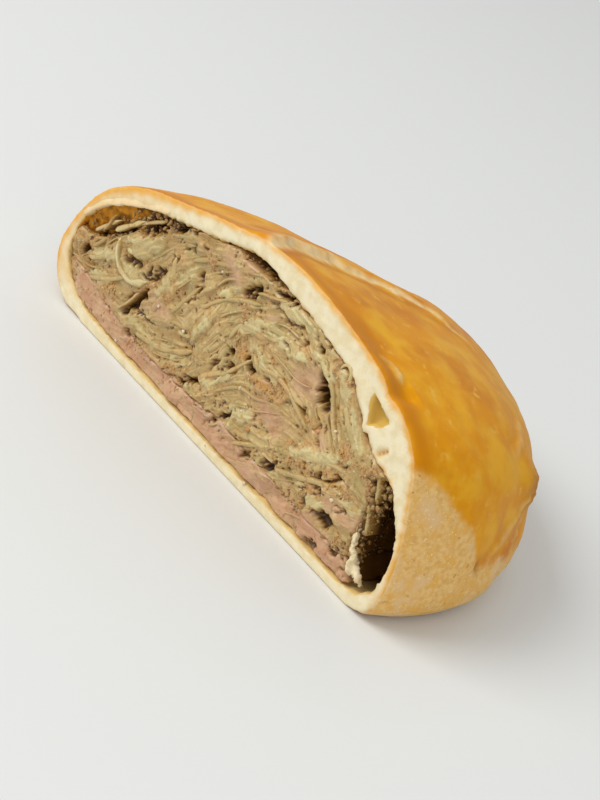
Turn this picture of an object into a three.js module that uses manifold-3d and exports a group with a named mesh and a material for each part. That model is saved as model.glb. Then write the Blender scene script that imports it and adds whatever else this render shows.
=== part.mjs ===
// Half of a round, hand-sized pasty, cut through the middle and standing on its flat base:
// a baked dough case round a filling of folded cabbage and minced meat on a layer of meat.
// Units are millimetres and +Z is up. The cut face looks towards -Y. The tall end of the
// case, with an air pocket in its dough, is at +X and the thin end is at -X.

import * as THREE from 'three';
import { mergeVertices } from 'three/addons/utils/BufferGeometryUtils.js';
import Module from 'manifold-3d';

const wasm = await Module();
wasm.setup();

// Driving dimensions

const DEPTH = 62; // from the cut face to the back of the case
const BACK_WALL = 4.5; // dough at the back
const FLOOR = 2.5; // dough under the filling
const GAP = 0.3; // clearance between touching layers
const SWELL_Y = 14; // how far behind the cut the round plan is widest
const PLAN_POWER = 1.83; // roundness of the plan: 2 is an ellipse
const BACK_SHIFT = 3; // how far the rounded back leans towards +X
const DOME_SPREAD = 0.8; // how soon the top starts to fall behind the cut
const DOME_POWER = 0.25; // how steeply it falls at the back
const MEAT_THICKNESS = 4.2; // layer of meat on the floor of the case
const FACE_RELIEF = 0.6; // how far the cut filling is uneven
const OPEN_LENGTH = 3; // how far the hollowing shape reaches out of the cut

// Mesh fineness

const RING_STEPS = 76;
const DEPTH_STEPS = 22;
const CAVITY_RING_STEPS = 60;
const CAVITY_DEPTH_STEPS = 10;
const FACE_STEP = 3.1;
const LAYER_COLUMNS = 30;
const LAYER_ROWS = 8;
const POCKET_STEPS = 20;

// Outline of the case at the cut, as [x, z] from the base at the +X end, over the crest
// and down to the base at the -X end.

const CASE_OUTLINE = [
  [49.7, 0], [53.4, 1.6], [55.7, 7], [55.6, 14], [53.2, 24], [50.4, 31.8], [42, 38.2],
  [26, 43.2], [9, 45], [-7, 42.8], [-23, 38.9], [-38, 34.2], [-49, 26.8], [-55.6, 16.5],
  [-57.4, 10], [-55.8, 4.4], [-52.4, 1.4], [-47, 0], [-24, 0], [0, 0], [26, 0],
];

// Outline of the hollow in the case: its upper +X corner is cut off by a thick wedge of
// dough, and the wall is thin everywhere else.

const HOLLOW_OUTLINE = [
  [45, FLOOR], [51.2, 4.2], [53.2, 10], [53, 16.5], [50.3, 21], [48.4, 24.6], [40.8, 27.2],
  [35.8, 30.4], [32.4, 35.2], [24, 37.8], [11, 40], [0.4, 41.6], [-8, 39.2], [-21, 35.6],
  [-36, 31.4], [-44.8, 27.2], [-50, 21.4], [-52.8, 13], [-51, 7.4], [-44, 3.8],
  [-32, FLOOR], [-8, FLOOR], [18, FLOOR],
];

// Where the flap of dough that closes the case ends on top, as [x, y] from the crest back.

const SEAM_LINE = [[2, -4], [-1, 8], [1.5, 18], [6, 28], [14, 37], [26, 44]];
const SEAM_HEIGHT = 1.1;
const SEAM_EDGE = 1;
const FLAP_WIDTH = 9;

// A browned knob and the tucks of dough that run down from it, on the rounded +X side.

const KNOB = new THREE.Vector3(49, 35.5, 21);
const KNOB_HEIGHT = 2.6;
const KNOB_RADIUS = 3.6;
const TUCKS = [
  { from: new THREE.Vector3(48, 30, 28), to: new THREE.Vector3(58.5, 21, 12), depth: 0.7 },
  { from: new THREE.Vector3(51, 34.5, 17), to: new THREE.Vector3(55, 30, 7), depth: 0.9 },
];
const TUCK_WIDTH = 1.6;

// Pockets: the air bubble in the dough, and the spaces that the filling left as it shrank.

const BUBBLE = { centre: [39.4, 0, 33.4], radii: [2.3, 5, 3.3], power: 0.9, turn: 0.25 };
const END_SPACE = { centre: [52, 0, 14.8], radii: [7.6, 17, 12.4], power: 0.55, turn: 0 };
const CREST_SPACE = { centre: [2, 0, 40.6], radii: [9, 12, 2.6], power: 0.8, turn: 0.05 };
const THIN_SPACE = { centre: [-44.5, 0, 26.4], radii: [12.5, 15, 6.4], power: 0.75, turn: 0.58 };

// Outlines

function closedOutline(corners, steps) {
  const points = corners.map(([x, z]) => new THREE.Vector3(x, 0, z));
  const curve = new THREE.CatmullRomCurve3(points, true, 'centripetal');
  const lowest = Math.min(...corners.map((corner) => corner[1]));
  const outline = curve.getSpacedPoints(steps).slice(0, steps);
  return outline.map((point) => new THREE.Vector2(point.x, Math.max(point.z, lowest)));
}

function insetOutline(outline, distance) {
  return outline.map((point, i) => {
    const before = outline[(i + outline.length - 1) % outline.length];
    const after = outline[(i + 1) % outline.length];
    const along = after.clone().sub(before).normalize();
    return new THREE.Vector2(point.x - along.y * distance, point.y + along.x * distance);
  });
}

// Plan and dome: how wide and how tall the case still is at a distance behind the cut.
// reach is the distance at which the shape closes.

function planWidth(y, reach) {
  const middle = (SWELL_Y * reach) / DEPTH;
  const spread = (t) => Math.pow(Math.max(0, 1 - Math.pow(Math.abs(t), PLAN_POWER)), 1 / PLAN_POWER);
  return spread((y - middle) / (reach - middle)) / spread(middle / (reach - middle));
}

function domeHeight(y, reach) {
  const share = Math.min(1, Math.max(0, y) / reach);
  return Math.pow(1 - Math.pow(share, DOME_SPREAD), DOME_POWER);
}

// Lofts the outline back from startY until it closes at reach. A cone gives the rings,
// the flat front and the point at the back.

function loft(outline, startY, reach, depthSteps) {
  const floor = Math.min(...outline.map((point) => point.y));
  const cone = new THREE.ConeGeometry(1, 1, outline.length, depthSteps);
  const solid = onlyPositions(cone);
  const position = solid.getAttribute('position');
  for (let i = 0; i < position.count; i += 1) {
    const radius = Math.hypot(position.getX(i), position.getZ(i));
    const row = Math.round((position.getY(i) + 0.5) * depthSteps);
    const share = Math.sin((row / depthSteps) * Math.PI * 0.5);
    const y = row === 0 ? startY : reach * share;
    const width = planWidth(Math.max(0, y), reach);
    const height = domeHeight(y, reach);
    const angle = Math.atan2(-position.getX(i), position.getZ(i));
    const step = Math.round((angle / (2 * Math.PI)) * outline.length + outline.length);
    const rim = outline[step % outline.length];
    const isCentre = row === 0 && radius < 0.5;
    const corner = isCentre ? new THREE.Vector2(0, floor + 15) : rim;
    const shift = BACK_SHIFT * (Math.max(0, y) / reach) ** 2;
    const z = floor + (corner.y - floor) * height;
    position.setXYZ(i, shift + corner.x * width, y, z);
  }
  return onlyPositions(solid);
}

// Relief of the baked surface

const seamCurve = new THREE.CatmullRomCurve3(SEAM_LINE.map(([x, y]) => new THREE.Vector3(x, y, 0)));
const seamPoints = seamCurve.getPoints(60);

function seamStep(point) {
  const nearest = seamPoints.reduce((best, candidate) => (
    Math.abs(candidate.y - point.y) < Math.abs(best.y - point.y) ? candidate : best
  ));
  const across = point.x - nearest.x;
  const edge = 0.5 - 0.5 * Math.tanh(across / SEAM_EDGE);
  const flap = Math.exp(-((across / FLAP_WIDTH) ** 2));
  const fade = Math.min(1, Math.max(0, (SEAM_LINE.at(-1)[1] - point.y) / 10));
  return SEAM_HEIGHT * edge * flap * fade;
}

function tuckDip(point) {
  return TUCKS.reduce((dip, tuck) => {
    const line = new THREE.Line3(tuck.from, tuck.to);
    const closest = line.closestPointToPoint(point, true, new THREE.Vector3());
    return dip + tuck.depth * Math.exp(-((closest.distanceTo(point) / TUCK_WIDTH) ** 2));
  }, 0);
}

function unevenness(point) {
  const broad = Math.sin(point.x * 0.11 + 1) * Math.cos(point.y * 0.13);
  const small = Math.sin(point.x * 0.31 + point.y * 0.23) * Math.sin(point.z * 0.29 + 2);
  return 0.45 * broad + 0.2 * small;
}

function bakeSurface(geometry) {
  geometry.computeVertexNormals();
  const position = geometry.getAttribute('position');
  const normal = geometry.getAttribute('normal');
  const point = new THREE.Vector3();
  const outward = new THREE.Vector3();
  for (let i = 0; i < position.count; i += 1) {
    point.fromBufferAttribute(position, i);
    outward.fromBufferAttribute(normal, i);
    const knob = KNOB_HEIGHT * Math.exp(-((point.distanceTo(KNOB) / KNOB_RADIUS) ** 2));
    const isTop = THREE.MathUtils.smoothstep(point.z, 2, 14);
    const lift = isTop * (unevenness(point) + seamStep(point) * Math.max(0, outward.z));
    const rise = lift + knob - tuckDip(point);
    const behindCut = point.y > 0 ? outward.y : 0;
    point.add(new THREE.Vector3(outward.x, behindCut, outward.z).multiplyScalar(rise));
    position.setXYZ(i, point.x, point.y, Math.max(point.z, 0));
  }
  return onlyPositions(geometry);
}

// Pockets and layers

function pocketGeometry({ centre, radii, power, turn }) {
  const geometry = onlyPositions(new THREE.SphereGeometry(1, POCKET_STEPS, POCKET_STEPS * 0.6));
  const position = geometry.getAttribute('position');
  const point = new THREE.Vector3();
  for (let i = 0; i < position.count; i += 1) {
    point.fromBufferAttribute(position, i);
    const swollen = point.toArray().map((value) => Math.sign(value) * Math.abs(value) ** power);
    position.setXYZ(i, ...swollen.map((value, axis) => value * radii[axis]));
  }
  geometry.rotateY(turn * -1);
  geometry.translate(...centre);
  return onlyPositions(geometry);
}

function meatTop(x, y) {
  const wave = 0.7 * Math.sin(x * 0.12 + 0.6) + 0.4 * Math.sin(x * 0.37 + y * 0.2);
  const rise = 3 * THREE.MathUtils.smoothstep(-x, 34, 54);
  return FLOOR + GAP + MEAT_THICKNESS + wave + rise;
}

function layerBelow(extra) {
  const size = new THREE.Vector3(130, DEPTH + 10, 10);
  const block = new THREE.BoxGeometry(size.x, size.y, size.z, LAYER_COLUMNS, LAYER_ROWS, 1);
  block.translate(0, size.y / 2 - OPEN_LENGTH - 1, -size.z / 2);
  const position = block.getAttribute('position');
  for (let i = 0; i < position.count; i += 1) {
    if (position.getZ(i) > -1) {
      position.setZ(i, meatTop(position.getX(i), position.getY(i)) + extra);
    }
  }
  return onlyPositions(block);
}

function faceRelief(x, z) {
  const folds = Math.sin(x * 0.42 + 2 * Math.sin(z * 0.21)) * Math.cos(z * 0.5 + x * 0.13);
  const lumps = Math.sin(x * 0.9 + z * 0.7) * Math.sin(z * 1.1 - x * 0.5);
  return FACE_RELIEF * (0.7 * folds + 0.3 * lumps);
}

function faceBlock() {
  const size = new THREE.Vector3(130, DEPTH + 10, 52);
  const columns = Math.round(size.x / FACE_STEP);
  const rows = Math.round(size.z / FACE_STEP);
  const block = new THREE.BoxGeometry(size.x, size.y, size.z, columns, 1, rows);
  block.translate(0, size.y / 2, size.z / 2 - 1);
  const position = block.getAttribute('position');
  for (let i = 0; i < position.count; i += 1) {
    if (position.getY(i) < 1) {
      position.setY(i, faceRelief(position.getX(i), position.getZ(i)));
    }
  }
  return onlyPositions(block);
}

// Conversions between three.js geometry and solids

function onlyPositions(geometry) {
  const plain = geometry.clone();
  plain.deleteAttribute('normal');
  plain.deleteAttribute('uv');
  return mergeVertices(plain, 1e-4);
}

function toSolid(geometry) {
  const vertProperties = new Float32Array(geometry.getAttribute('position').array);
  const triVerts = new Uint32Array(geometry.getIndex().array);
  return new wasm.Manifold(new wasm.Mesh({ numProp: 3, vertProperties, triVerts }));
}

function toGeometry(solid) {
  const mesh = solid.getMesh();
  const geometry = new THREE.BufferGeometry();
  geometry.setAttribute('position', new THREE.BufferAttribute(mesh.vertProperties, 3));
  geometry.setIndex(new THREE.BufferAttribute(mesh.triVerts, 1));
  return onlyPositions(geometry);
}

// The three layers

const caseOutline = closedOutline(CASE_OUTLINE, RING_STEPS);
const hollowOutline = closedOutline(HOLLOW_OUTLINE, CAVITY_RING_STEPS);
const hollowReach = DEPTH - BACK_WALL;

function makeCase() {
  const body = toSolid(bakeSurface(loft(caseOutline, 0, DEPTH, DEPTH_STEPS)));
  const hollow = toSolid(loft(hollowOutline, -OPEN_LENGTH, hollowReach, CAVITY_DEPTH_STEPS));
  return body.subtract(hollow).subtract(toSolid(pocketGeometry(BUBBLE)));
}

function makeStuffing() {
  const outline = insetOutline(hollowOutline, GAP);
  const inside = loft(outline, -OPEN_LENGTH, hollowReach - GAP, CAVITY_DEPTH_STEPS);
  return toSolid(inside).intersect(toSolid(faceBlock()));
}

function makeMeatLayer() {
  return makeStuffing().intersect(toSolid(layerBelow(0)))
    .subtract(toSolid(pocketGeometry(END_SPACE)));
}

function makeFilling() {
  return [END_SPACE, CREST_SPACE, THIN_SPACE].reduce(
    (solid, space) => solid.subtract(toSolid(pocketGeometry(space))),
    makeStuffing().subtract(toSolid(layerBelow(GAP))),
  );
}

// Meshes

function namedMesh(name, solid, colour, roughness) {
  const material = new THREE.MeshStandardMaterial({ color: colour, roughness, metalness: 0 });
  const mesh = new THREE.Mesh(toGeometry(solid), material);
  mesh.name = name;
  return mesh;
}

const pasty = new THREE.Group();
pasty.add(namedMesh('pastry_case', makeCase(), '#d3982c', 0.45));
pasty.add(namedMesh('cabbage_filling', makeFilling(), '#b29666', 0.6));
pasty.add(namedMesh('meat_layer', makeMeatLayer(), '#bc9478', 0.55));

// The origin is under the middle of the whole piece, on the surface that it rests on.

const box = new THREE.Box3().setFromObject(pasty);
const middle = box.getCenter(new THREE.Vector3());
pasty.position.set(-middle.x, -middle.y, -box.min.z);

export default pasty;
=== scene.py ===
# %% [markdown]
# # Half a pasty, cut open
# A round pasty has been baked and cut through the middle, and one half stands on its flat
# base. The solids that hold its sizes are loaded first. Everything below gives them the
# look of baked dough, cabbage and meat, piece by piece.

# %% Load the frame
import math
import random

import bmesh
import bpy
import numpy as np
from mathutils import Euler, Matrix, Quaternion, Vector, noise
from mathutils.bvhtree import BVHTree
from mathutils.kdtree import KDTree


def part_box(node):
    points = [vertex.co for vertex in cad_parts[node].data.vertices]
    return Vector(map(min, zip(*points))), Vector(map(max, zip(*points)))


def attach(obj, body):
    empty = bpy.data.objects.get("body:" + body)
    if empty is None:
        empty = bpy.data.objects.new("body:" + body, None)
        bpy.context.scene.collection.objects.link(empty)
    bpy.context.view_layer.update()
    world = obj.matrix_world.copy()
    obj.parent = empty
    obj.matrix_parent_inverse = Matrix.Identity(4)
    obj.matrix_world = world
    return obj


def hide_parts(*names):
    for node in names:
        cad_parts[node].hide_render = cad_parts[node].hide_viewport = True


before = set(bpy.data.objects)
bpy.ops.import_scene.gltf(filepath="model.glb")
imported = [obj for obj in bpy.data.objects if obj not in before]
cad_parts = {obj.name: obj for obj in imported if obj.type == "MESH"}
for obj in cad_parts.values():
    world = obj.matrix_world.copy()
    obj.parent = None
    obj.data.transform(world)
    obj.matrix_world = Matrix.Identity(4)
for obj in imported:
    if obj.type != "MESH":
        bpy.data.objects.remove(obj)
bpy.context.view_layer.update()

MM = 0.001
case_low, case_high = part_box("pastry_case")
CUT_Y = case_low.y
print("case from", case_low, "to", case_high)

# %% [markdown]
# ## Camera
# The camera looks down on the cut face from the front right. It is rolled a little, as a
# hand-held camera is, so the base runs down to the right in the picture. A long lens keeps
# the shape from bulging. It is set by angles and a distance, so that it can be read.

# %% Camera
CAMERA_AIM = Vector((1.1, -7.6, 8.0)) * MM
CAMERA_AZIMUTH = math.radians(42.9)
CAMERA_ELEVATION = math.radians(27.65)
CAMERA_DISTANCE = 344 * MM
CAMERA_ROLL = math.radians(21.0)
LENS = 79

camera_data = bpy.data.cameras.new("camera")
camera_data.lens = LENS
camera_data.clip_start = 10 * MM
camera = bpy.data.objects.new("camera", camera_data)
bpy.context.collection.objects.link(camera)
to_camera = Vector((
    math.sin(CAMERA_AZIMUTH) * math.cos(CAMERA_ELEVATION),
    -math.cos(CAMERA_AZIMUTH) * math.cos(CAMERA_ELEVATION),
    math.sin(CAMERA_ELEVATION),
))
camera.location = CAMERA_AIM + to_camera * CAMERA_DISTANCE
camera.rotation_mode = "QUATERNION"
upright = to_camera.to_track_quat("Z", "Y")
camera.rotation_quaternion = upright @ Quaternion((0, 0, 1), CAMERA_ROLL)
bpy.context.scene.camera = camera
print("camera at", camera.location)

# %% [markdown]
# ## Helpers for finishes
# Every colour is written as it would be picked on a screen, so one function turns such a
# value to the linear numbers that shaders work in. Another adds one shader node with its
# settings and links. Food is never one flat colour, so two more lay tints over a colour: in
# soft random patches, or where a value was painted on the mesh.

# %% Colour and node helpers
BLEND = {"data_type": "RGBA", "clamp_factor": True}
SOFTLY = {"interpolation_type": "SMOOTHSTEP"}


def linear(code):
    """A screen colour such as "#D5911C" as linear RGBA."""
    shares = [int(code[i:i + 2], 16) / 255 for i in (1, 3, 5)]
    return [s / 12.92 if s <= 0.04045 else ((s + 0.055) / 1.055) ** 2.4 for s in shares] + [1]


def fill(tree, node, **inputs):
    """Gives a node's inputs a value, a screen colour or another node's output. An input goes by
    its name, with _ for each space, or by i and its number."""
    for name, value in inputs.items():
        key = int(name[1:]) if name[0] == "i" and name[1:].isdigit() else name.replace("_", " ")
        if isinstance(value, bpy.types.NodeSocket):
            tree.links.new(value, node.inputs[key])
        else:
            node.inputs[key].default_value = linear(value) if isinstance(value, str) else value


def add(tree, kind, settings=None, out=0, **inputs):
    """Adds one node with its settings and inputs, and gives its output."""
    made = tree.nodes.new("ShaderNode" + kind)
    for name, value in (settings or {}).items():
        setattr(made, name, value)
    fill(tree, made, **inputs)
    return made.outputs[out]


def new_finish(name):
    """An empty material with its tree, its shader and the position on the object."""
    material = bpy.data.materials.new(name)
    material.use_nodes = True
    tree = material.node_tree
    return material, tree, tree.nodes["Principled BSDF"], add(tree, "TexCoord", None, "Object")


def mottled(tree, place, colour, *tints):
    """Lays soft patches over a colour. A tint has its patches' size in millimetres, the noise
    value where they begin, the value where they are full, and its screen colour."""
    for size, low, high, tint in tints:
        cloud = add(tree, "TexNoise", Vector=place, Scale=1 / (size * MM), Detail=3.0, Roughness=0.55)
        share = add(tree, "MapRange", SOFTLY, Value=cloud, From_Min=low, From_Max=high)
        colour = add(tree, "Mix", BLEND, 2, i0=share, i6=colour, i7=tint)
    return colour


def tinted(tree, colour, *marks):
    """Tints a colour by values painted on the mesh. A mark has its value's name and its colour,
    and may end with what the value is multiplied by and what is then added."""
    for name, tint, *scaled in marks:
        share = add(tree, "Attribute", {"attribute_name": name}, "Fac")
        if scaled:
            times, more = scaled
            share = add(tree, "Math", {"operation": "MULTIPLY_ADD"}, i0=share, i1=times, i2=more)
        colour = add(tree, "Mix", BLEND, 2, i0=share, i6=colour, i7=tint)
    return colour


# %% [markdown]
# ## Helpers for meshes
# Most pieces start as a merged copy of the solid they stand for, because that already has
# the true outline. A voxel remesh gives it an even skin, fine enough to be pressed, torn and
# crumbled by moving its points. The points are read and written as one array.

# %% Mesh helpers


def choose(*objects):
    """Selects only these objects and makes the first one active."""
    bpy.ops.object.select_all(action="DESELECT")
    for chosen in objects:
        chosen.select_set(True)
    bpy.context.view_layer.objects.active = objects[0]


def merged_copy(node, name):
    """A copy of a solid with its loose triangles merged into one skin."""
    made = bpy.data.objects.new(name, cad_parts[node].data.copy())
    bpy.context.collection.objects.link(made)
    made.data.materials.clear()
    choose(made)
    bpy.ops.object.mode_set(mode="EDIT")
    bpy.ops.mesh.select_all(action="SELECT")
    bpy.ops.mesh.remove_doubles(threshold=0.01 * MM)
    bpy.ops.object.mode_set(mode="OBJECT")
    return made


def apply_modifier(made, kind, **settings):
    """Adds one modifier with its settings and applies it."""
    choose(made)
    modifier = made.modifiers.new(kind.lower(), kind)
    for name, value in settings.items():
        setattr(modifier, name, value)
    bpy.ops.object.modifier_apply(modifier=modifier.name)


def points_of(made):
    """The points of a mesh as an array of rows, in millimetres."""
    flat = np.empty(len(made.data.vertices) * 3)
    made.data.vertices.foreach_get("co", flat)
    return flat.reshape(-1, 3) / MM


def normals_of(made):
    """The outward direction at each point."""
    flat = np.empty(len(made.data.vertices) * 3)
    made.data.vertices.foreach_get("normal", flat)
    return flat.reshape(-1, 3)


def move_points(made, points):
    """Puts the points of a mesh where the rows say, in millimetres."""
    made.data.vertices.foreach_set("co", (points * MM).ravel())
    made.data.update()


def paint(made, name, values):
    """Stores one number for each point, or the same for all, for the finish to read."""
    layer = made.data.attributes.new(name, "FLOAT", "POINT")
    layer.data.foreach_set("value", np.full(len(made.data.vertices), values, dtype=np.float32))


def rough(points, size, seed=0, depth=1):
    """Smooth random values from about -1 to 1, with lumps of a size in millimetres."""
    shift = Vector((seed * 17.3, seed * 5.1, seed * 9.7))
    if depth == 1:
        return np.array([noise.noise(Vector(row) / size + shift) for row in points])
    return np.array([
        noise.fractal(Vector(row) / size + shift, 0.6, 2.1, depth) for row in points
    ])


def distance_to(points, targets, wanted):
    """How far each wanted point is from the nearest target point, in millimetres."""
    tree = KDTree(int(targets.sum()))
    for number, row in enumerate(points[targets]):
        tree.insert(row, number)
    tree.balance()
    away = np.full(len(points), 99.0)
    away[wanted] = [tree.find(row)[2] for row in points[wanted]]
    return away


def smooth_step(value, low, high):
    """0 below low, 1 above high and an even curve between."""
    share = np.clip((value - low) / (high - low), 0, 1)
    return share * share * (3 - 2 * share)


def face_smoothly(made):
    """Shades a mesh as one soft surface."""
    made.data.polygons.foreach_set("use_smooth", [True] * len(made.data.polygons))


def triangles_in(made):
    """How many triangles a mesh has."""
    return sum(len(face.vertices) - 2 for face in made.data.polygons)


def distance_to_path(points, path):
    """How far each point is from a line of corners in space, in millimetres."""
    best = np.full(len(points), 99.0)
    for start, end in zip(path[:-1], path[1:]):
        run = np.subtract(end, start)
        share = np.clip((points - start) @ run / (run @ run), 0, 1)
        best = np.minimum(best, np.linalg.norm(points - start - share[:, None] * run, axis=1))
    return best


# %% [markdown]
# ## Dough case: its shape
# The case is one baked piece of dough with a smooth skin outside, a crumbly pale face where
# the knife went through, and a steamed wall inside, darker from steaming and from painted
# shade further in. It could be sculpted, but here it is remeshed finely from its solid,
# smoothed, and then moved point by point: broad dents, fine dimples, a ragged edge on the
# flap that closes it, and a torn inner rim.

# %% Case: an even skin
CASE_VOXEL = 0.64 * MM
FACE_Y = CUT_Y / MM
crust = merged_copy("pastry_case", "crust")
apply_modifier(crust, "REMESH", mode="VOXEL", voxel_size=CASE_VOXEL, use_smooth_shade=True)
apply_modifier(crust, "SMOOTH", factor=0.5, iterations=4)
print("case triangles", triangles_in(crust))

# %% Case: where the skin, the cut and the inner wall are
skin = points_of(crust)
facing = normals_of(crust)
behind = skin[:, 1] - CUT_Y / MM
on_cut = smooth_step(-facing[:, 1], 0.55, 0.85) * smooth_step(-behind, -1.2, -0.7)
# Skin that faces away from the middle is outside. The dome is wide and low, so across counts least.
MIDDLE = np.array([0.0, -6.0, 18.0])
HOW_MUCH_EACH_WAY = np.array([0.5, 1, 1.2])
outward = ((skin - MIDDLE) * HOW_MUCH_EACH_WAY * facing).sum(axis=1)
is_outside = smooth_step(outward, -2, 2)
is_inside = (1 - is_outside) * (1 - on_cut)
print("share on the cut", round(float(on_cut.mean()), 3))

# %% Case: broad dents, dimples and the flap's edge
FLAP_EDGE = [(2.6, -31), (-0.4, -23), (1.8, -13), (6.5, -3), (14.5, 6), (26, 13)]
FLAP_LIFT = 1.25
along_edge = skin * [0, 1, 0]
edge_wobble = 1.3 * rough(along_edge, 3.4, seed=3) + 0.7 * rough(along_edge, 1.1, seed=4)
edge_x = np.interp(skin[:, 1], [y for x, y in FLAP_EDGE], [x for x, y in FLAP_EDGE])
from_edge = skin[:, 0] - edge_x - edge_wobble
on_top = smooth_step(facing[:, 2], 0.2, 0.6) * is_outside * smooth_step(-skin[:, 1], -13, -4)
flap_step = (0.5 - 0.5 * np.tanh(from_edge / 0.35)) * np.exp(-((from_edge / 5) ** 2))
fade_back = 1 - 0.6 * smooth_step(behind, 8, 34)
lift = FLAP_LIFT * flap_step * on_top * fade_back
# Dents and dimples: height, size, seed, levels of detail and where they are.
DENTS = [
    (0.30, 11, 1, 1, is_outside), (0.10, 3.5, 2, 1, is_outside), (0.035, 1.1, 5, 1, is_outside),
    (0.35, 3.2, 6, 3, is_inside),
]
for height, size, seed, levels, where in DENTS:
    lift += height * rough(skin, size, seed, levels) * where
# Each wrinkle, fold or flake is a path over the skin, then its reach, height and paleness.
CREASES = [
    ([(40.2, 7.6, 28.1), (47.4, 0.6, 28.0), (48.7, -1.4, 28.0)], 0.9, 0.45, 0.5),
    ([(51.5, 2.8, 20.1), (53.7, 0.6, 17.3), (56.2, -4.0, 16.3), (58.1, -7.6, 14.5),
      (59.2, -9.4, 12.3)], 0.8, 0.6, 0.7),
    ([(52.5, 3.6, 15.3), (56.1, -0.8, 12.1), (55.8, -0.2, 6.0)], 0.8, 0.5, 0.6),
    ([(33.6, -26.8, 40.5), (35.1, -25.8, 40.0), (37.8, -25.8, 39.1)], 0.6, 0.8, 1),
    ([(-30, -14, 33), (-22, -8, 37), (-12, -6, 39)], 1.6, 0.35, 0.2),
    ([(-46, -18, 22), (-40, -8, 27), (-36, 2, 28)], 1.8, 0.35, 0.2),
    ([(22, -2, 34), (30, 8, 27), (34, 14, 20)], 1.6, 0.35, 0.2),
    ([(-20, 14, 26), (-8, 20, 20), (2, 24, 14)], 1.5, 0.3, 0.15),
]
KNOB_AT = [51.0, 5.5, 20.5]
PIT_AT = [59.7, -12.1, 12.6]
creased = np.zeros(len(skin))
crease_wobble = 0.6 * rough(skin, 1.8, seed=14, depth=2)
for path, reach, height, paleness in CREASES:
    away = distance_to_path(skin, path) + crease_wobble
    ridge = np.exp(-((away / reach) ** 2))
    lift += is_outside * height * ridge * (0.6 + 0.8 * rough(skin, 1.5, seed=15))
    lift -= is_outside * 0.25 * height * np.exp(-(((away - 2 * reach) / reach) ** 2))
    creased = np.maximum(creased, paleness * ridge)
pit = np.exp(-((np.linalg.norm(skin - PIT_AT, axis=1) / 1.3) ** 2))
knob = np.exp(-((np.linalg.norm(skin - KNOB_AT, axis=1) / 4.5) ** 2))
lift += is_outside * (0.5 * knob * rough(skin, 1.6, seed=16, depth=2) - 1.3 * pit)
near_floor = 1 - smooth_step(skin[:, 2], 0.2, 2.5)
lift *= 1 - near_floor
lift *= np.maximum(smooth_step(behind, -0.2, 1.0), 0.6 * is_inside)
lift += 0.4 * rough(skin, 0.9, seed=20, depth=2) * is_inside * smooth_step(-behind, -3, 0)
skin += facing * lift[:, None]

# %% Case: the cut face
seen = on_cut * (1 - near_floor)
skin[:, 1] += seen * (0.22 * rough(skin, 4.0, seed=7) + 0.12 * rough(skin, 1.5, seed=8, depth=2))
# The solid has an oval air pocket here, and the real one is a triangle with soft corners.
POCKET_ACROSS, POCKET_UP = 40.1, 33.4
POCKET_HALF_WIDTH, POCKET_HALF_HEIGHT = 2.3, 3.3
POCKET_SIDE, POCKET_TURN, POCKET_SHARPNESS = 1.85, 0.17, 0.85
CRACK = [(43.6, FACE_Y, 27.6), (45.2, FACE_Y, 29.4)]
offset_x, offset_z = skin[:, 0] - POCKET_ACROSS, skin[:, 2] - POCKET_UP
turn = np.arctan2(offset_z, offset_x)
from_side = (turn - POCKET_TURN) % (2 * math.pi / 3) - math.pi / 3
rounded_triangle = POCKET_SIDE / np.cos(from_side) ** POCKET_SHARPNESS
oval = 1 / np.hypot(np.cos(turn) / POCKET_HALF_WIDTH, np.sin(turn) / POCKET_HALF_HEIGHT)
out = np.hypot(offset_x, offset_z) / oval
held = np.exp(-((np.maximum(out - 1, 0) / 0.7) ** 2)) * (behind < 6)
skin[:, 0] += offset_x * (rounded_triangle / oval - 1) * held
skin[:, 2] += offset_z * (rounded_triangle / oval - 1) * held
in_pocket = smooth_step(1.35 - out, 0, 0.2) * (behind < 6) * (1 - on_cut)
crack = on_cut * np.exp(-((distance_to_path(skin, CRACK) / 0.4) ** 2))
skin[:, 1] += 0.9 * crack
skin[:, 1] -= 0.5 * in_pocket * np.maximum(behind, 0)
move_points(crust, skin)
face_smoothly(crust)

# %% Case: what is painted on it
# How far down the egg wash runs, at distances behind the cut.
GLAZE_BEHIND = [0, 4, 7, 11, 14, 17, 22, 40]
GLAZE_UP = [30, 28.5, 26, 22.5, 20, 13, 12, 9]
glaze_line = np.interp(behind, GLAZE_BEHIND, GLAZE_UP)
left_line = 13 + 9 * rough(skin, 16, seed=11) + 3 * rough(skin, 6, seed=21)
right_share = smooth_step(skin[:, 0], -20, 20)
line = glaze_line * right_share + left_line * (1 - right_share)
line += 1.2 * rough(skin, 4, seed=9) + 0.5 * rough(skin, 1.4, seed=10)
line += 0.8 * rough(skin, 2.2, seed=19, depth=3)
paint(crust, "glaze", smooth_step(skin[:, 2], -1.3 + line, 1.1 + line) * is_outside)
off_cut, wanted = on_cut < 0.3, on_cut > 0.3
to_skin = distance_to(skin, (is_outside > 0.6) & off_cut & (in_pocket < 0.1), wanted)
to_hollow = distance_to(skin, (is_inside > 0.6) & off_cut & (in_pocket < 0.5), wanted)
browned_depth = 1.5 + 1.5 * smooth_step(-skin[:, 0], 10, 40)
browned = 1 - smooth_step(to_skin + 0.5 * rough(skin, 2, seed=12), 0.1, browned_depth)
browned = np.maximum(browned, crack)
browned = np.maximum(browned, 0.3 * smooth_step(-skin[:, 0], 18, 40))
paint(crust, "baked_edge", on_cut * browned * smooth_step(skin[:, 2], 2, 7))
to_hollow += 0.5 * rough(skin, 1.5, seed=13)
paint(crust, "steamed_edge", on_cut * (1 - smooth_step(to_hollow, 0, 1.0)))
paint(crust, "cut", on_cut)
paint(crust, "inside", is_inside * (1 - in_pocket))
# Painted shade: the inner wall is marked darker the further it lies behind the cut, and more so towards the
# right.
darker_right = 0.3 + 0.7 * smooth_step(skin[:, 0], -30, 5)
paint(crust, "painted_recess_shade", is_inside * smooth_step(behind, 1, 9) * darker_right)
paint(crust, "amber", smooth_step(-skin[:, 0], 22, 36) * smooth_step(skin[:, 2], 12, 18))
paint(crust, "pocket", in_pocket)
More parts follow.
